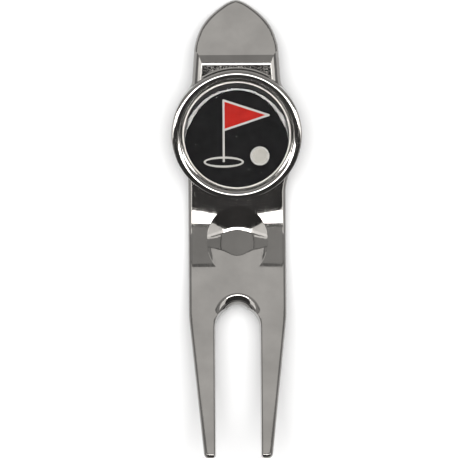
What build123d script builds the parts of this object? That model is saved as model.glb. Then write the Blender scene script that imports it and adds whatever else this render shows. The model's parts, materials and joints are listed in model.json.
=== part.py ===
from build123d import *
from math import atan2, cos, degrees, hypot, radians, sin, sqrt, tan
import os

os.makedirs("parts", exist_ok=True)

# Divot repair tool with a removable ball marker, in millimetres, +Z up.
# The tool lies marker side up, on the belly of its lower bend and on its leaf's tip.
# +Y points along the tool to the leaf, and the origin is the bottom centre of its box.

# Plate: the middle slopes down towards the fork, which rises again to its tips
plate_thickness = 3.0
rest_tilt = 6.5                  # slope of the middle in the rest pose
fork_turn = 18.1                 # turn of the lower bend
lower_bend_radius = 44.0         # on the upper face
upper_bend_start = 13.8          # along the middle, from the cup's centre
upper_bend_radius = 8.2          # on the upper face
upper_bend_turn = 15.0           # then a crease where the leaf's flat face begins
crease_radius = 1.0
upper_bend_bottom_radius = 6.0
tool_length = 91.4
cup_to_lower_bend = 21.8
cup_to_leaf_tip = 26.65          # level distance
leaf_tip_thickness = 1.4
prong_tip_thickness = 2.0

# Outline, seen along the middle's normal
leaf_half_width = 8.43
body_half_width = 9.75
leaf_shoulder = 15.9             # where the leaf begins to narrow
leaf_outline = ((2.8, 1.2), (5.55, 3.4), (7.2, 5.65), (8.1, 8.0))    # half width, distance from the tip
leaf_tip_sweep = 0.15            # the tip's outline falls away at once, per mm of width
neck_flare = 0.07                # the neck widens towards the cup, per mm
neck_foot = 5.0                  # the neck's sides end here, under the cup
taper_start = -36.3              # where the prongs begin to narrow
taper_blend_radius = 30.0
prong_tip_half_spread = 6.7      # outer edge of a prong at its tip
upper_blend_radius = 3.0         # neck's sides into the cup's wall
lower_blend_radius = 13.0        # cup's wall into the body's sides
lower_blend_span = 9.0           # it spans what a tangent blend of this radius would
neck_rounding_width = 1.75       # broad rounding of the neck's upper edges
neck_rounding_drop = 1.6
neck_rounding_radius = 1.9
neck_rounding_run = 5.0          # past the leaf's shoulders
top_edge_radius = 0.85
bottom_edge_radius = 0.5

# Slot between the prongs, drafted as cast, with a wide round-over at its closed end
slot_half_width = 4.35           # at the underside
slot_end_from_bend = 17.2        # centre of the slot's round end, along the fork
slot_draft = 6.0
slot_edge_width = 0.3
slot_edge_radius = 0.32
mouth_from_bend = 15.1           # centre of the round-over
mouth_rim_radius = 4.7
mouth_depth = 1.95
mouth_curve_radius = 2.1
prong_corner_radius = 1.1

# Thumb dish: a shallow bowl with a small flat floor, tipped towards the leaf
dish_from_bend = -0.5
dish_depth = 0.42                # below the bend's corner
dish_tilt = 5.0
dish_floor_radius = 1.58
dish_curve_radius = 10.5
dish_cut_height = 3.5
dish_edge_radius = 0.25
dish_reach = 9.0                 # the dish's rim lies within this distance of its centre

# Cup for the ball marker, with a crowned rim
cup_outer_radius = 13.0
cup_inner_radius = 11.37
cup_height = 2.2                 # above the plate's upper face
cup_wall_root = 1.5              # below the upper face, inside the plate
cup_crown_radius = 12.36         # the crown is measured here
cup_lip_drop = 0.104             # the rim's inner lip below the crown
cup_shoulder_drop = 0.124        # the rim's outer shoulder below the crown
cup_outer_rounding = 0.25
cup_lip_rounding = 0.2
cup_foot = 0.4                   # hollow fillet between the wall and the plate's upper face
cup_foot_radius = 0.46
upper_foot_spread = 30.0         # either side of the tool's axis, in degrees
lower_foot_spread = 41.0
pocket_depth = 2.53              # below the rim

# Magnet in its recess under the marker
magnet_radius = 5.0
magnet_thickness = 1.3
magnet_clearance = 0.15
magnet_setback = 0.05            # below the pocket's floor
magnet_chamfer = 0.15
glue_thickness = 0.1

# Ball marker: stamped blank, enamel fills, clear dome
marker_radius = 11.04
marker_rim_height = 1.5
marker_rim_width = 0.54
marker_field_height = 0.9
marker_fill_height = 1.35        # raised lines and enamel are flush
marker_gap = 0.03                # under the blank
marker_shift = 0.15              # the marker lies this far off centre, down the slope
marker_edge_radius = 0.28
dome_crown = 0.14                # above the marker's rim
dome_flat_radius = 7.5
dome_edge_fall = 6.3             # slope at the rim, in degrees

# Emblem: a golf flag, its hole and a ball
line_width = 0.4
pole_x = -2.6
pole_bottom = -5.4
pole_top = 7.0
flag_length = 9.0
flag_depth = 6.0
hole_half_length = 4.0
hole_half_width = 1.1
ball_radius = 1.9
ball_x = 4.6
ball_y = -4.2

cut_margin = 1.0                 # how far cutters reach past what they cut
tolerance = 0.1                  # for picking corners by their position

# Rest pose, worked out from the shape: the belly and the leaf's tip touch the ground
slope_sin = sin(radians(rest_tilt))
slope_cos = cos(radians(rest_tilt))
fork_sin = sin(radians(fork_turn))
fork_cos = cos(radians(fork_turn))
fork_rise = fork_turn - rest_tilt
fork_reach = tool_length - cup_to_leaf_tip - cup_to_lower_bend * slope_cos
fork_length = fork_reach / cos(radians(fork_rise)) - prong_tip_thickness * tan(radians(fork_rise))
prong_tip_top = (-cup_to_lower_bend - fork_length * fork_cos, fork_length * fork_sin)
prong_tip_bottom = (
    prong_tip_top[0] - prong_tip_thickness * fork_sin,
    prong_tip_top[1] - prong_tip_thickness * fork_cos,
)
lower_bend_bottom = (-cup_to_lower_bend - plate_thickness * tan(radians(fork_turn / 2)), -plate_thickness)
underside_turn = atan2(
    prong_tip_bottom[1] - lower_bend_bottom[1], lower_bend_bottom[0] - prong_tip_bottom[0]
)
belly_radius = lower_bend_radius + plate_thickness
belly_centre_u = lower_bend_bottom[0] + belly_radius * tan(underside_turn / 2)
belly_centre_w = belly_radius - plate_thickness
cup_z = belly_radius - belly_centre_u * slope_sin - belly_centre_w * slope_cos
cup_y = tool_length / 2 - cup_to_leaf_tip

# Sizes that follow from others
magnet_recess_depth = magnet_setback + magnet_thickness + glue_thickness
slot_top_half_width = slot_half_width + plate_thickness * tan(radians(slot_draft))
mouth_neck_radius = mouth_rim_radius - mouth_depth
dish_wall_reach = dish_floor_radius + sqrt(dish_curve_radius**2 - (dish_curve_radius - dish_cut_height) ** 2)
field_radius = marker_radius - marker_rim_width
lower_blend_x = body_half_width + lower_blend_span
lower_blend_y = -sqrt((cup_outer_radius + lower_blend_span) ** 2 - lower_blend_x**2)
lower_blend_share = cup_outer_radius / (cup_outer_radius + lower_blend_span)
lower_blend_start = (lower_blend_x * lower_blend_share, lower_blend_y * lower_blend_share)
lower_blend_end = (body_half_width, lower_blend_y)


def to_plate(level, height):
    """Turn a level distance from the cup's centre and a height into the plate's own frame."""
    drop = height - cup_z
    return level * slope_cos + drop * slope_sin, drop * slope_cos - level * slope_sin


plate = Plane(origin=(0, cup_y, cup_z), x_dir=(1, 0, 0), z_dir=(0, -slope_sin, slope_cos))
side = Plane(origin=plate.origin, x_dir=plate.y_dir, z_dir=(1, 0, 0))
cup_axis = Axis(plate.origin, plate.z_dir)

# The side view's other corners, before its bends are rounded
leaf_tip_top = to_plate(cup_to_leaf_tip, leaf_tip_thickness)
leaf_tip_bottom = to_plate(cup_to_leaf_tip, 0)
lower_bend_top = (-cup_to_lower_bend, 0)
bend_sin = sin(radians(upper_bend_turn))
bend_cos = cos(radians(upper_bend_turn))
leaf_crease = (upper_bend_start + upper_bend_radius * bend_sin, upper_bend_radius * (bend_cos - 1))
leaf_fall = degrees(atan2(leaf_crease[1] - leaf_tip_top[1], leaf_tip_top[0] - leaf_crease[0]))
upper_bend_bottom = (leaf_crease[0] - plate_thickness * tan(radians(leaf_fall / 2)), -plate_thickness)

fork = Plane(
    origin=plate.from_local_coords((0, -cup_to_lower_bend, 0)),
    x_dir=(1, 0, 0),
    z_dir=(0, sin(radians(fork_rise)), cos(radians(fork_rise))),
)
dish_axis = Axis(
    fork.origin + Vector(0, dish_from_bend, -dish_depth),
    (0, sin(radians(dish_tilt)), cos(radians(dish_tilt))),
)


def neck_side(distance):
    """A point on the neck's side, in the plate's own frame, this far from the cup's centre."""
    return leaf_half_width + neck_flare * (leaf_shoulder - distance), distance


def slot_outline(height):
    """The drafted slot's outline at a height over the fork's face, from prong end to prong end."""
    half_width = slot_half_width + (height + plate_thickness) * tan(radians(slot_draft))
    corner = prong_corner_radius - half_width + slot_half_width
    points = (
        (half_width + corner, -fork_length),
        (half_width, corner - fork_length),
        (half_width, -slot_end_from_bend),
        (-half_width, -slot_end_from_bend),
        (-half_width, corner - fork_length),
        (-half_width - corner, -fork_length),
    )
    right_tip = TangentArc(points[0], points[1], tangent=(-1, 0))
    right_wall = Line(points[1], points[2])
    closed_end = TangentArc(points[2], points[3], tangent=(0, 1))
    left_wall = Line(points[3], points[4])
    left_tip = TangentArc(points[4], points[5], tangent=(0, -1))
    return Wire([right_tip, right_wall, closed_end, left_wall, left_tip])


def faces_towards(direction, part):
    """Faces of the part that look along a direction, within 45 degrees."""
    return [face for face in part.faces() if face.normal_at().dot(direction) > cos(radians(45))]


def border(faces):
    """Edges that belong to exactly one of the faces."""
    edges = ShapeList([edge for face in faces for edge in face.edges()])
    return ShapeList([edge for edge in edges if edges.count(edge) == 1])


# Tool body: leaf, neck, cup, dish and fork in one casting
with BuildPart() as tool_body:
    with BuildSketch(side) as profile:
        with BuildLine():
            bend = TangentArc((upper_bend_start, 0), leaf_crease, tangent=(1, 0))
            Polyline(
                bend @ 1, leaf_tip_top, leaf_tip_bottom, upper_bend_bottom,
                lower_bend_bottom, prong_tip_bottom, prong_tip_top, lower_bend_top, bend @ 0,
            )
        make_face()
        for corner, radius in (
            (leaf_crease, crease_radius),
            (upper_bend_bottom, upper_bend_bottom_radius),
            (lower_bend_top, lower_bend_radius),
            (lower_bend_bottom, belly_radius),
        ):
            fillet(profile.vertices().sort_by_distance(corner)[0], radius)
    extrude(amount=cup_outer_radius + cut_margin, both=True)

    with BuildSketch(plate) as outline:
        with BuildLine():
            Spline(
                (0, leaf_tip_top[0]),
                *[(width, leaf_tip_top[0] - distance) for width, distance in leaf_outline],
                (leaf_half_width, leaf_shoulder),
                tangents=((1, -leaf_tip_sweep), (neck_flare, -1)),
            )
            Polyline(
                (leaf_half_width, leaf_shoulder),
                neck_side(neck_foot),
                (body_half_width, 0),
                (body_half_width, taper_start),
                (prong_tip_half_spread, prong_tip_top[0] - cut_margin),
                (0, prong_tip_top[0] - cut_margin),
            )
            mirror(about=Plane.YZ)
        make_face()
        Circle(cup_outer_radius)
        junctions = outline.vertices().filter_by(
            lambda v: abs(hypot(v.X, v.Y) - cup_outer_radius) < tolerance and v.Y > plate_thickness
        )
        fillet(junctions, upper_blend_radius)
        with BuildLine():
            RadiusArc(lower_blend_start, lower_blend_end, -lower_blend_radius)
            Polyline(
                lower_blend_end,
                (body_half_width - cut_margin, lower_blend_end[1]),
                (body_half_width - cut_margin, lower_blend_start[1]),
                lower_blend_start,
            )
            mirror(about=Plane.YZ)
        make_face()
        fillet(outline.vertices().filter_by(lambda v: abs(v.Y - taper_start) < tolerance), taper_blend_radius)
    extrude(amount=tool_length, both=True, mode=Mode.INTERSECT)

    upright = tool_body.edges().filter_by(
        lambda edge: abs(edge.tangent_at(0.5).dot(fork.z_dir)) > cos(radians(30))
    )
    tip_corners = upright.filter_by(lambda edge: edge.center().Y < prong_corner_radius - tool_length / 2)
    fillet(tip_corners, prong_corner_radius)

    upper_faces = faces_towards(plate.z_dir, tool_body)
    fillet(border(upper_faces), top_edge_radius)
    lower_faces = faces_towards(-plate.z_dir, tool_body)
    fillet(border(lower_faces), bottom_edge_radius)

    # Broad rounding of the neck's upper edges, from the leaf's shoulders into the cup's wall
    blends = outline.sketch.edges().filter_by(GeomType.CIRCLE).sort_by(Axis.Y)[-2:]
    blend = blends.sort_by(Axis.X)[-1]
    with BuildLine() as neck_edge:
        neck_line = Line(
            plate.from_local_coords((*neck_side(leaf_shoulder + neck_rounding_run), 0)),
            blend.vertices().sort_by(Axis.Y)[-1].center(),
        )
        add(blend)
    neck_section = Plane(origin=neck_line @ 0, x_dir=(1, 0, 0), z_dir=neck_line % 0)
    with BuildSketch(neck_section) as rounding:
        with BuildLine():
            curve = RadiusArc((-neck_rounding_width, 0), (0, -neck_rounding_drop), neck_rounding_radius)
            Polyline(
                curve @ 1,
                (cut_margin, -neck_rounding_drop),
                (cut_margin, cut_margin),
                (-neck_rounding_width, cut_margin),
                curve @ 0,
            )
        make_face()
    cutter = sweep(path=neck_edge.wire(), mode=Mode.PRIVATE)
    add(cutter, mode=Mode.SUBTRACT)
    add(cutter.mirror(Plane.YZ), mode=Mode.SUBTRACT)

    # Cup wall with its crowned rim, standing on the plate
    with BuildSketch(side) as wall:
        with BuildLine():
            Polyline(
                (cup_inner_radius, cup_height - cup_lip_drop),
                (cup_inner_radius, -cup_wall_root),
                (cup_outer_radius, -cup_wall_root),
                (cup_outer_radius, cup_height - cup_shoulder_drop),
            )
            ThreePointArc(
                (cup_outer_radius, cup_height - cup_shoulder_drop),
                (cup_crown_radius, cup_height),
                (cup_inner_radius, cup_height - cup_lip_drop),
            )
        make_face()
        fillet(wall.vertices().sort_by_distance((cup_outer_radius, cup_height))[0], cup_outer_rounding)
        fillet(wall.vertices().sort_by_distance((cup_inner_radius, cup_height))[0], cup_lip_rounding)
    revolve(axis=cup_axis)
    for heading, spread in ((90, upper_foot_spread), (-90, lower_foot_spread)):
        start = radians(heading - spread)
        outward = plate.x_dir * cos(start) + plate.y_dir * sin(start)
        with BuildSketch(Plane(origin=plate.origin, x_dir=outward, z_dir=outward.cross(plate.z_dir))):
            with BuildLine():
                RadiusArc((cup_outer_radius, cup_foot), (cup_outer_radius + cup_foot, 0), -cup_foot_radius)
                Polyline(
                    (cup_outer_radius + cup_foot, 0),
                    (cup_outer_radius + cup_foot, -cup_foot),
                    (cup_outer_radius - cup_foot, -cup_foot),
                    (cup_outer_radius - cup_foot, cup_foot),
                    (cup_outer_radius, cup_foot),
                )
            make_face()
        revolve(axis=cup_axis, revolution_arc=2 * spread)
    with BuildSketch(plate.offset(cup_height)):
        Circle(cup_inner_radius)
    extrude(amount=-pocket_depth, mode=Mode.SUBTRACT)
    with BuildSketch(plate.offset(cup_height - pocket_depth)):
        Circle(magnet_radius + magnet_clearance)
    extrude(amount=-magnet_recess_depth, mode=Mode.SUBTRACT)

    # Slot, its edge rounding and its end's round-over
    for height in (-plate_thickness, 0, top_edge_radius):
        with BuildSketch(fork.offset(height)):
            with BuildLine():
                edge = slot_outline(height)
                Polyline(
                    edge @ 1,
                    (-slot_half_width - 2 * prong_corner_radius, -fork_length - 2 * prong_corner_radius),
                    (slot_half_width + 2 * prong_corner_radius, -fork_length - 2 * prong_corner_radius),
                    edge @ 0,
                )
            make_face()
    loft(ruled=True, mode=Mode.SUBTRACT)

    with BuildLine(fork) as slot_edge:
        wall_line = Line((slot_top_half_width, -2 * fork_length), (slot_top_half_width, -slot_end_from_bend))
        ThreePointArc(
            (slot_top_half_width, -slot_end_from_bend),
            (0, slot_top_half_width - slot_end_from_bend),
            (-slot_top_half_width, -slot_end_from_bend),
        )
        Line((-slot_top_half_width, -slot_end_from_bend), (-slot_top_half_width, -2 * fork_length))
    with BuildSketch(Plane(origin=wall_line @ 0, x_dir=(-1, 0, 0), z_dir=wall_line % 0)):
        with BuildLine():
            curve = RadiusArc((-slot_edge_width, 0), (0, -slot_edge_width), slot_edge_radius)
            Polyline(
                curve @ 1,
                (slot_edge_width, -slot_edge_width),
                (slot_edge_width, slot_edge_width),
                (-slot_edge_width, slot_edge_width),
                curve @ 0,
            )
        make_face()
    sweep(path=slot_edge.wire(), mode=Mode.SUBTRACT)

    mouth_origin = fork.from_local_coords((0, -mouth_from_bend, 0))
    mouth_side = Plane(origin=mouth_origin, x_dir=(1, 0, 0), z_dir=fork.x_dir.cross(fork.z_dir))
    with BuildSketch(mouth_side):
        with BuildLine():
            curve = RadiusArc((mouth_rim_radius, 0), (mouth_neck_radius, -mouth_depth), -mouth_curve_radius)
            Polyline(
                curve @ 1,
                (mouth_neck_radius, -plate_thickness - cut_margin),
                (0, -plate_thickness - cut_margin),
                (0, cut_margin),
                (mouth_rim_radius, cut_margin),
                curve @ 0,
            )
        make_face()
    revolve(axis=Axis(mouth_origin, fork.z_dir), mode=Mode.SUBTRACT)

    # Thumb dish
    dish_side = Plane(
        origin=dish_axis.position, x_dir=(1, 0, 0), z_dir=fork.x_dir.cross(dish_axis.direction)
    )
    with BuildSketch(dish_side):
        with BuildLine():
            Line((0, 0), (dish_floor_radius, 0))
            wall_curve = TangentArc(
                (dish_floor_radius, 0), (dish_wall_reach, dish_cut_height), tangent=(1, 0)
            )
            Polyline(wall_curve @ 1, (0, dish_cut_height), (0, 0))
        make_face()
    revolve(axis=dish_axis, mode=Mode.SUBTRACT)
    dish_rim = tool_body.edges(Select.LAST).filter_by(
        lambda edge: (edge.center() - dish_axis.position).length < dish_reach
        and edge.geom_type != GeomType.CIRCLE
    )
    fillet(dish_rim, dish_edge_radius)

tool_body.part.label = "tool_body"
export_step(tool_body.part, "parts/tool_body.step")

# Magnet and the adhesive under it
recess_floor = plate.offset(cup_height - pocket_depth - magnet_recess_depth)
with BuildPart() as magnet_glue:
    with BuildSketch(recess_floor):
        Circle(magnet_radius)
    extrude(amount=glue_thickness)
magnet_glue.part.label = "magnet_glue"
export_step(magnet_glue.part, "parts/magnet_glue.step")

with BuildPart() as magnet:
    with BuildSketch(recess_floor.offset(glue_thickness)):
        Circle(magnet_radius)
    extrude(amount=magnet_thickness)
    chamfer(magnet.edges().filter_by(GeomType.CIRCLE), magnet_chamfer)
magnet.part.label = "magnet"
export_step(magnet.part, "parts/magnet.step")

# Ball marker, drawn on its underside
marker = plate.offset(cup_height - pocket_depth + marker_gap)
marker = marker.shift_origin(marker.from_local_coords((0, -marker_shift, 0)))
flag_tip = (pole_x + flag_length, pole_top - flag_depth / 2)
flag_corners = ((pole_x, pole_top), flag_tip, (pole_x, pole_top - flag_depth))

with BuildSketch(Plane.XY) as flag_fill:
    with BuildLine():
        Polyline(*flag_corners, close=True)
    make_face()
    offset(amount=-line_width / 2, kind=Kind.INTERSECTION)
    with Locations((pole_x, 0)):
        Rectangle(line_width, 2 * pole_top, mode=Mode.SUBTRACT)

with BuildSketch(Plane.XY) as ball_fill:
    with Locations((ball_x, ball_y)):
        Circle(ball_radius - line_width)

with BuildSketch(Plane.XY) as emblem:
    with BuildLine():
        Polyline(*flag_corners, close=True)
    make_face()
    offset(amount=line_width / 2)
    with Locations((pole_x, pole_bottom)):
        Ellipse(hole_half_length, hole_half_width)
        Ellipse(hole_half_length - line_width, hole_half_width - line_width, mode=Mode.SUBTRACT)
    with Locations((pole_x, (pole_top + pole_bottom) / 2)):
        Rectangle(line_width, pole_top - pole_bottom)
    with Locations((ball_x, ball_y)):
        Circle(ball_radius)
    add(flag_fill.sketch, mode=Mode.SUBTRACT)
    add(ball_fill.sketch, mode=Mode.SUBTRACT)

with BuildPart() as marker_coin:
    with BuildSketch(marker):
        Circle(marker_radius)
    extrude(amount=marker_rim_height)
    with BuildSketch(marker.offset(marker_field_height)):
        Circle(field_radius)
        add(emblem.sketch, mode=Mode.SUBTRACT)
    extrude(amount=marker_rim_height, mode=Mode.SUBTRACT)
    with BuildSketch(marker.offset(marker_fill_height)):
        Circle(field_radius)
    extrude(amount=marker_rim_height, mode=Mode.SUBTRACT)
    outer_edges = marker_coin.edges().filter_by(GeomType.CIRCLE).filter_by(
        lambda edge: edge.radius > marker_radius - 0.01
    )
    fillet(outer_edges, marker_edge_radius)
marker_coin.part.label = "marker_coin"
export_step(marker_coin.part, "parts/marker_coin.step")


def enamel(fill_sketch, name):
    """Fill cells of the marker's field with enamel, flush with the raised lines."""
    with BuildPart() as fill:
        with BuildSketch(marker.offset(marker_field_height)):
            add(fill_sketch)
        extrude(amount=marker_fill_height - marker_field_height)
    fill.part.label = name
    export_step(fill.part, f"parts/{name}.step")
    return fill


with BuildSketch(Plane.XY) as field_fill:
    Circle(field_radius)
    add(emblem.sketch, mode=Mode.SUBTRACT)
    add(flag_fill.sketch, mode=Mode.SUBTRACT)
    add(ball_fill.sketch, mode=Mode.SUBTRACT)

marker_black_enamel = enamel(field_fill.sketch, "marker_black_enamel")
marker_red_enamel = enamel(flag_fill.sketch, "marker_red_enamel")
marker_white_enamel = enamel(ball_fill.sketch, "marker_white_enamel")

with BuildPart() as marker_dome:
    marker_side = Plane(origin=marker.origin, x_dir=marker.y_dir, z_dir=(1, 0, 0))
    with BuildSketch(marker_side):
        with BuildLine():
            Polyline(
                (dome_flat_radius, marker_rim_height + dome_crown),
                (0, marker_rim_height + dome_crown),
                (0, marker_fill_height),
                (field_radius, marker_fill_height),
                (field_radius, marker_rim_height),
            )
            Spline(
                (field_radius, marker_rim_height),
                (dome_flat_radius, marker_rim_height + dome_crown),
                tangents=((-1, tan(radians(dome_edge_fall))), (-1, 0)),
            )
        make_face()
    revolve(axis=Axis(marker.origin, marker.z_dir))
marker_dome.part.label = "marker_dome"
export_step(marker_dome.part, "parts/marker_dome.step")
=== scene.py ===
import json
import math

import bmesh
import bpy
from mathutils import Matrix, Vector


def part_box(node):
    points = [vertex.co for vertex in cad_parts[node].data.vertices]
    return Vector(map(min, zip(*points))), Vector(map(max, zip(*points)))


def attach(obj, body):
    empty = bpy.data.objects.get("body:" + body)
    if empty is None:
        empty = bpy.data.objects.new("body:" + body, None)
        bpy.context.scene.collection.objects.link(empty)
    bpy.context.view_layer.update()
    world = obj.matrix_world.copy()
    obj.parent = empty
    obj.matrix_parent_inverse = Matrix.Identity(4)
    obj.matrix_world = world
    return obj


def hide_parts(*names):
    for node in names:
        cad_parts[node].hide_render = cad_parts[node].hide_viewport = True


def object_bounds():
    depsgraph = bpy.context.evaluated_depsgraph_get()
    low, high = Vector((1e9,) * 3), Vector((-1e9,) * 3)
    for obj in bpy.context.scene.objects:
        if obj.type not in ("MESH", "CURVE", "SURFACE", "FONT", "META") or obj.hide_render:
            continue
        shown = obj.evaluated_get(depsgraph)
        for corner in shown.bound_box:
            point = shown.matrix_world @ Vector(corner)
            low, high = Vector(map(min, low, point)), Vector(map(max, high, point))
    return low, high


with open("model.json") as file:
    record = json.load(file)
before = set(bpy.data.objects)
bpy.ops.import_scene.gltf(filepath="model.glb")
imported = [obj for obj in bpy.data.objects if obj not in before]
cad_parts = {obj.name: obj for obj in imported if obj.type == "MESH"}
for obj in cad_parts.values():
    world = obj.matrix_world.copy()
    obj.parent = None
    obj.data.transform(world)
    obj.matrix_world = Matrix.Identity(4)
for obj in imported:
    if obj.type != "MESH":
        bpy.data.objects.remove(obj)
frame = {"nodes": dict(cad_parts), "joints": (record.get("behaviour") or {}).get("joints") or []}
cad_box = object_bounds()

scene = bpy.context.scene
scene.view_settings.view_transform = "Standard"
scene.view_settings.look = "None"

# ---------------------------------------------------------------- camera
VIEW_TILT = math.radians(2.0)          # the camera leans this far over the leaf
VIEW_ROLL = math.radians(-0.33)        # and is turned this much about its own axis
CAMERA_DISTANCE = 1.0
PICTURE_WIDTH = 0.0914                 # width of the view at the tool
SENSOR_WIDTH = 36.0
OFF_CENTRE = -0.00144                  # the tool stands a little right of the middle
NEAREST_SEEN = 0.01

low, high = cad_box
middle = (low + high) / 2
camera_data = bpy.data.cameras.new("camera")
camera_data.sensor_width = SENSOR_WIDTH
camera_data.lens = SENSOR_WIDTH * CAMERA_DISTANCE / PICTURE_WIDTH
camera_data.clip_start = NEAREST_SEEN
camera = bpy.data.objects.new("camera", camera_data)
scene.collection.objects.link(camera)
camera.location = (
    OFF_CENTRE,
    middle.y + CAMERA_DISTANCE * math.sin(VIEW_TILT),
    middle.z + CAMERA_DISTANCE * math.cos(VIEW_TILT),
)
camera.rotation_euler = (-VIEW_TILT, 0, VIEW_ROLL)
scene.camera = camera


# ---------------------------------------------------------------- material helpers
class Surface:
    """A material with one Principled shader. Sizes, depths and radii are in metres."""

    def __init__(self, name):
        self.material = bpy.data.materials.new(name)
        self.material.use_nodes = True
        self.nodes = self.material.node_tree.nodes
        self.links = self.material.node_tree.links
        self.inputs = self.nodes["Principled BSDF"].inputs
        self.place = None

    def textured(self):
        """Gives the patterns their place, fixed to the piece."""
        self.place = self.nodes.new("ShaderNodeTexCoord").outputs["Object"]
        return self

    def drive(self, socket, value):
        self.links.new(value, self.inputs[socket])

    def hold(self, socket, value):
        self.inputs[socket].default_value = value

    def noise(self, size, detail=2.0, stretch=(1, 1, 1)):
        """A noise pattern whose blotches are about this size."""
        scaling = self.nodes.new("ShaderNodeMapping")
        scaling.inputs["Scale"].default_value = stretch
        self.links.new(self.place, scaling.inputs["Vector"])
        pattern = self.nodes.new("ShaderNodeTexNoise")
        pattern.inputs["Scale"].default_value = 1 / size
        pattern.inputs["Detail"].default_value = detail
        self.links.new(scaling.outputs[0], pattern.inputs["Vector"])
        return pattern.outputs["Fac"]

    def remap(self, value, low_in, high_in, low_out, high_out):
        """One range of a value onto another, clamped."""
        node = self.nodes.new("ShaderNodeMapRange")
        self.links.new(value, node.inputs["Value"])
        node.inputs["From Min"].default_value = low_in
        node.inputs["From Max"].default_value = high_in
        node.inputs["To Min"].default_value = low_out
        node.inputs["To Max"].default_value = high_out
        return node.outputs["Result"]

    def combine(self, operation, first, second):
        node = self.nodes.new("ShaderNodeMath")
        node.operation = operation
        self.links.new(first, node.inputs[0])
        self.links.new(second, node.inputs[1])
        return node.outputs[0]

    def blend(self, amount, first, second):
        """Two colours mixed by a value. The first may be the result of another mix."""
        node = self.nodes.new("ShaderNodeMix")
        node.data_type = "RGBA"
        self.links.new(amount, node.inputs["Factor"])
        if isinstance(first, tuple):
            node.inputs["A"].default_value = (*first, 1)
        else:
            self.links.new(first, node.inputs["A"])
        node.inputs["B"].default_value = (*second, 1)
        return node.outputs["Result"]

    def relief(self, height, depth, below=None):
        """A bump layer of this depth, over another one."""
        node = self.nodes.new("ShaderNodeBump")
        node.inputs["Strength"].default_value = 1.0
        node.inputs["Distance"].default_value = depth
        self.links.new(height, node.inputs["Height"])
        if below is not None:
            self.links.new(below, node.inputs["Normal"])
        return node.outputs["Normal"]

    def scratches(self, turn, width, length):
        """Sparse fine lines in the tool's plane: 1 in a scratch and 0 outside."""
        turned = self.nodes.new("ShaderNodeMapping")
        turned.inputs["Rotation"].default_value = (0, 0, turn)
        turned.inputs["Scale"].default_value = (1 / width, 1 / length, 1 / length)
        self.links.new(self.place, turned.inputs["Vector"])
        pattern = self.nodes.new("ShaderNodeTexNoise")
        pattern.inputs["Scale"].default_value = 1.0
        pattern.inputs["Detail"].default_value = 0.0
        self.links.new(turned.outputs[0], pattern.inputs["Vector"])
        return self.remap(pattern.outputs["Fac"], 0.69, 0.74, 0.0, 1.0)

    def edge_wear(self, radius):
        """1 on edges sharper than a radius, 0 on flat faces."""
        rounded = self.nodes.new("ShaderNodeBevel")
        rounded.samples = 4
        rounded.inputs["Radius"].default_value = radius
        surface = self.nodes.new("ShaderNodeNewGeometry")
        agreement = self.nodes.new("ShaderNodeVectorMath")
        agreement.operation = "DOT_PRODUCT"
        self.links.new(rounded.outputs["Normal"], agreement.inputs[0])
        self.links.new(surface.outputs["Normal"], agreement.inputs[1])
        return self.remap(agreement.outputs["Value"], 0.995, 0.90, 0.0, 1.0)


def scaled(tone, factor):
    return tuple(factor * channel for channel in tone)


# ---------------------------------------------------------------- kinds of finish
def plated_metal(name, tone, worn_tone, gloss, waviness):
    """Bright plating over a casting: slow waves, pinhole grain, hairlines, rubbed edges."""
    metal = Surface(name).textured()
    clouds = metal.noise(0.006, 3)
    grain = metal.noise(0.00012)
    smudges = metal.noise(0.011, 4, (1, 0.6, 1))
    hairlines = metal.combine(
        "MAXIMUM",
        metal.scratches(0.35, 0.00003, 0.004),
        metal.scratches(-0.9, 0.00004, 0.006),
    )
    rubbed = metal.edge_wear(0.00018)

    cloudy = metal.blend(metal.remap(clouds, 0.3, 0.7, 0, 1), scaled(tone, 0.9), scaled(tone, 1.08))
    wear = metal.combine("MULTIPLY", rubbed, metal.remap(smudges, 0.35, 0.65, 0.1, 0.8))
    metal.drive("Base Color", metal.blend(wear, cloudy, worn_tone))

    dullness = metal.combine(
        "ADD",
        metal.remap(smudges, 0.45, 0.75, gloss, gloss + 0.035),
        metal.remap(hairlines, 0, 1, 0, 0.06),
    )
    dullness = metal.combine("ADD", dullness, metal.remap(rubbed, 0, 1, 0, 0.08))
    metal.drive("Roughness", dullness)

    waves = metal.relief(metal.noise(0.0035, 1), waviness)
    pores = metal.relief(grain, 0.0000002, waves)
    metal.drive("Normal", metal.relief(metal.remap(hairlines, 0, 1, 1, 0), 0.0000006, pores))
    metal.hold("Metallic", 1.0)
    return metal.material


def filled_enamel(name, tone, other_tone):
    """Stoved enamel: slightly uneven colour, pigment grain, a surface ground flush."""
    gloss = 0.12
    enamel = Surface(name).textured()
    uneven = enamel.combine(
        "ADD",
        enamel.remap(enamel.noise(0.002, 3), 0.3, 0.7, 0, 0.7),
        enamel.remap(enamel.noise(0.00008), 0.35, 0.65, 0, 0.3),
    )
    enamel.drive("Base Color", enamel.blend(uneven, tone, other_tone))
    ground = enamel.scratches(0.6, 0.00002, 0.003)
    enamel.drive("Roughness", enamel.remap(ground, 0, 1, gloss, gloss + 0.15))
    enamel.drive("Normal", enamel.relief(enamel.noise(0.00015), 0.000001))
    enamel.hold("Specular IOR Level", 0.03)
    return enamel.material


def clear_resin(name, tint):
    """Clear doming resin: very slow waves, faint dust and handling haze."""
    resin = Surface(name).textured()
    resin.drive("Roughness", resin.remap(resin.noise(0.004, 4), 0.4, 0.8, 0.0, 0.05))
    dust = resin.remap(resin.noise(0.00018, 0), 0.84, 0.88, 0, 1)
    resin.drive("Base Color", resin.blend(dust, tint, scaled(tint, 0.6)))
    swell = resin.relief(resin.noise(0.004, 1), 0.0000012)
    resin.drive("Normal", resin.relief(dust, 0.000001, swell))
    resin.hold("Transmission Weight", 1.0)
    resin.hold("IOR", 1.45)
    return resin.material


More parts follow.
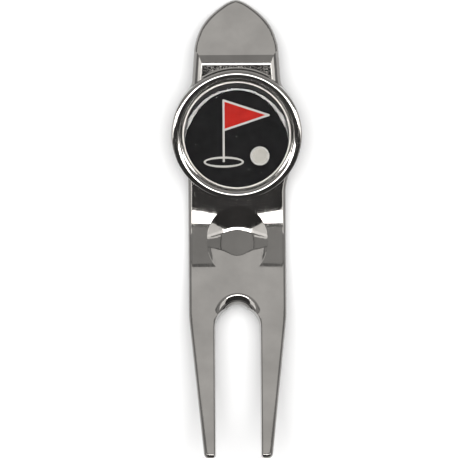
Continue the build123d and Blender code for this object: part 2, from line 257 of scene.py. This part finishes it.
def cast_adhesive(name, tone, other_tone):
    """Cured adhesive: cloudy amber with tiny bubbles and a matt skin."""
    adhesive = Surface(name).textured()
    cloudy = adhesive.remap(adhesive.noise(0.0015, 4), 0.3, 0.7, 0, 1)
    adhesive.drive("Base Color", adhesive.blend(cloudy, tone, other_tone))
    adhesive.drive("Roughness", adhesive.remap(cloudy, 0, 1, 0.35, 0.6))
    bubbles = adhesive.nodes.new("ShaderNodeTexVoronoi")
    bubbles.inputs["Scale"].default_value = 4000
    adhesive.links.new(adhesive.place, bubbles.inputs["Vector"])
    adhesive.drive("Normal", adhesive.relief(bubbles.outputs["Distance"], 0.00001))
    return adhesive.material


# ---------------------------------------------------------------- finish of each node
looks = {
    "tool_body": plated_metal(
        "black_nickel", (0.262, 0.255, 0.246), (0.36, 0.35, 0.33), gloss=0.025, waviness=0.0000035
    ),
    "magnet": plated_metal(
        "magnet_nickel", (0.60, 0.58, 0.55), (0.42, 0.40, 0.38), gloss=0.16, waviness=0.000002
    ),
    "magnet_glue": cast_adhesive("adhesive", (0.62, 0.50, 0.30), (0.72, 0.62, 0.42)),
    "marker_coin": plated_metal(
        "marker_nickel", (0.30, 0.29, 0.275), (0.38, 0.37, 0.35), gloss=0.30, waviness=0.000002
    ),
    "marker_black_enamel": filled_enamel("black_enamel", (0.006, 0.006, 0.0065), (0.011, 0.011, 0.012)),
    "marker_red_enamel": filled_enamel("red_enamel", (0.50, 0.018, 0.014), (0.62, 0.03, 0.02)),
    "marker_white_enamel": filled_enamel("white_enamel", (0.58, 0.565, 0.52), (0.66, 0.645, 0.60)),
    "marker_dome": clear_resin("clear_epoxy", (1.0, 1.0, 0.99)),
}
for node, material in looks.items():
    data = frame["nodes"][node].data
    data.materials.clear()
    data.materials.append(material)


# ---------------------------------------------------------------- clear dome over the marker
# Flat in the middle and rolling off towards the rim. Its underside lies just inside the enamel.
# Heights are above the marker's underside.
MARKER_HEIGHT = 0.0015                 # to the top of its rim
DOME_RADIUS = 0.0105
DOME_SINK = 0.00133                    # the dome's underside
DOME_SLOPES = ((0.0089, 0.0), (0.0092, 1.6), (0.0096, 4.2), (0.0099, 7.5), (0.0105, 12.0))    # in degrees
DOME_STEP = 0.00015
DOME_SEGMENTS = 192
FLAT_RINGS = (0.99, 0.98, 0.9, 0.7, 0.5, 0.3, 0.1)    # shares of the flat's radius
SHARPEST_SMOOTH = math.radians(40)


def dome_slope(radius):
    for (r0, s0), (r1, s1) in zip(DOME_SLOPES, DOME_SLOPES[1:]):
        if r0 <= radius <= r1:
            return math.tan(math.radians(s0 + (s1 - s0) * (radius - r0) / (r1 - r0)))
    return 0.0


def dome_profile():
    """Radius and height from the edge inwards."""
    flat_radius = DOME_SLOPES[0][0]
    radius, height = DOME_RADIUS, MARKER_HEIGHT
    points = [(radius, height)]
    while radius > flat_radius:
        height += dome_slope(radius - DOME_STEP / 2) * DOME_STEP
        radius -= DOME_STEP
        points.append((radius, height))
    return points + [(flat_radius * share, height) for share in FLAT_RINGS]


marker_axis = Vector(next(joint["axis"] for joint in frame["joints"] if joint["name"] == "marker_lift"))
coin_low, coin_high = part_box("marker_coin")
coin_foot = (Vector(coin_low) + Vector(coin_high)) / 2 - marker_axis * MARKER_HEIGHT / 2
across = Vector((1, 0, 0))
along = marker_axis.cross(across)


def marker_point(radius, angle, height):
    outwards = across * radius * math.cos(angle) + along * radius * math.sin(angle)
    return coin_foot + outwards + marker_axis * height


shape = bmesh.new()
rings = []
for radius, height in [(DOME_RADIUS, DOME_SINK)] + dome_profile():
    rings.append([
        shape.verts.new(marker_point(radius, 2 * math.pi * step / DOME_SEGMENTS, height))
        for step in range(DOME_SEGMENTS)
    ])
for outer, inner in zip(rings, rings[1:]):
    for step in range(DOME_SEGMENTS):
        after = (step + 1) % DOME_SEGMENTS
        shape.faces.new((outer[step], outer[after], inner[after], inner[step]))
shape.faces.new(rings[-1])
shape.faces.new(list(reversed(rings[0])))
bmesh.ops.recalc_face_normals(shape, faces=shape.faces)
for face in shape.faces:
    face.smooth = True
for edge in shape.edges:
    if edge.calc_face_angle(0) > SHARPEST_SMOOTH:
        edge.smooth = False
dome_mesh = bpy.data.meshes.new("clear_dome")
shape.to_mesh(dome_mesh)
shape.free()
dome_mesh.materials.append(looks["marker_dome"])
clear_dome = bpy.data.objects.new("clear_dome", dome_mesh)
scene.collection.objects.link(clear_dome)
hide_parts("marker_dome")
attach(clear_dome, "marker")


# ---------------------------------------------------------------- stage
# Flat panels overhead that only the tool's reflections see. A panel's corners are tangents of the
# angles from the vertical at the tool, and a panel of a lower layer hides those above it.
PANEL_HEIGHT = 3.0
LAYER_GAP = 0.02
PANEL_TINT = (1, 0.985, 0.965)


def rectangle(x0, x1, y0, y1):
    return [(x0, y0), (x1, y0), (x1, y1), (x0, y1)]


def emission(name, level):
    material = bpy.data.materials.new(name)
    material.use_nodes = True
    nodes = material.node_tree.nodes
    nodes.clear()
    light = nodes.new("ShaderNodeEmission")
    light.inputs["Color"].default_value = (*scaled(PANEL_TINT, level), 1)
    light.inputs["Strength"].default_value = 1.0
    output = nodes.new("ShaderNodeOutputMaterial")
    material.node_tree.links.new(light.outputs[0], output.inputs[0])
    return material


def panel(name, corners, level, layer):
    height = PANEL_HEIGHT + LAYER_GAP * layer
    mesh = bpy.data.meshes.new(name)
    mesh.from_pydata([(x * height, y * height, height) for x, y in corners], [], [range(len(corners))])
    mesh.materials.append(emission(name, level))
    obj = bpy.data.objects.new(name, mesh)
    scene.collection.objects.link(obj)
    obj.visible_camera = False
    obj.visible_diffuse = False
    obj.visible_transmission = False
    obj.visible_shadow = False


FLAG_CORNERS = [(-0.28, -0.205), (0.28, -0.205), (1.3, -0.9), (2.6, -2.4), (-2.6, -2.4), (-1.3, -0.9)]
panel("black_flag", FLAG_CORNERS, level=0.085, layer=0)
panel("softbox", rectangle(-0.31, 0.31, -0.205, -0.117), level=16, layer=1)
panel("softbox_wings", rectangle(-1.3, 1.3, -0.205, -0.117), level=2.6, layer=2)
panel("softbox_edge", rectangle(-0.9, 0.9, -0.117, -0.08), level=0.36, layer=2)
panel("ceiling_gap", rectangle(-1.2, 1.2, 0.253, 0.283), level=0.29, layer=0)
panel("overhead", rectangle(-0.33, 0.33, -0.08, 0.253), level=0.65, layer=3)
panel("overhead_rim", rectangle(-0.38, 0.38, -0.08, 0.253), level=0.24, layer=4)
panel("far_panel", [(-0.9, 0.283), (0.9, 0.283), (1.1, 1.9), (-1.1, 1.9)], level=1.28, layer=3)
panel("far_rim", [(-0.98, 0.283), (0.98, 0.283), (1.18, 1.95), (-1.18, 1.95)], level=0.34, layer=4)
panel("side_grey", rectangle(-2.0, 2.0, -0.03, 2.2), level=0.58, layer=5)
panel("side_white", rectangle(-0.38, 0.38, -1.2, -0.03), level=6.0, layer=6)
panel("side_light", rectangle(-1.4, 1.4, -1.4, -0.03), level=2.0, layer=7)

FLOOR_REACH = 3.0                      # to each side
FLOOR_GAP = 0.00002                    # under the tool
WORLD_TINT = (1, 0.99, 0.98)
WORLD_STRENGTH = 0.42
KEY_HEIGHT = 1.2
KEY_FORWARD = 0.2                      # towards the leaf
KEY_SIZE = 1.6
KEY_POWER = 22

floor_mesh = bpy.data.meshes.new("floor")
floor_corners = rectangle(-FLOOR_REACH, FLOOR_REACH, -FLOOR_REACH, FLOOR_REACH)
floor_mesh.from_pydata([(x, y, 0) for x, y in floor_corners], [], [(0, 1, 2, 3)])
floor = bpy.data.objects.new("floor", floor_mesh)
floor.location.z = low.z - FLOOR_GAP
scene.collection.objects.link(floor)
paper = Surface("paper")
paper.hold("Base Color", (0.86, 0.86, 0.86, 1))
paper.hold("Roughness", 0.9)
paper.hold("Specular IOR Level", 0.1)
floor_mesh.materials.append(paper.material)

world = bpy.data.worlds.new("studio")
scene.world = world
world.use_nodes = True
background = world.node_tree.nodes["Background"]
background.inputs["Color"].default_value = (*WORLD_TINT, 1)
background.inputs["Strength"].default_value = WORLD_STRENGTH

key_data = bpy.data.lights.new("key", "AREA")
key_data.shape = "SQUARE"
key_data.size = KEY_SIZE
key_data.energy = KEY_POWER
key = bpy.data.objects.new("key", key_data)
scene.collection.objects.link(key)
key.location = (0, KEY_FORWARD, KEY_HEIGHT)
key.rotation_euler = (-key.location).to_track_quat("-Z", "Y").to_euler()
key.visible_glossy = False
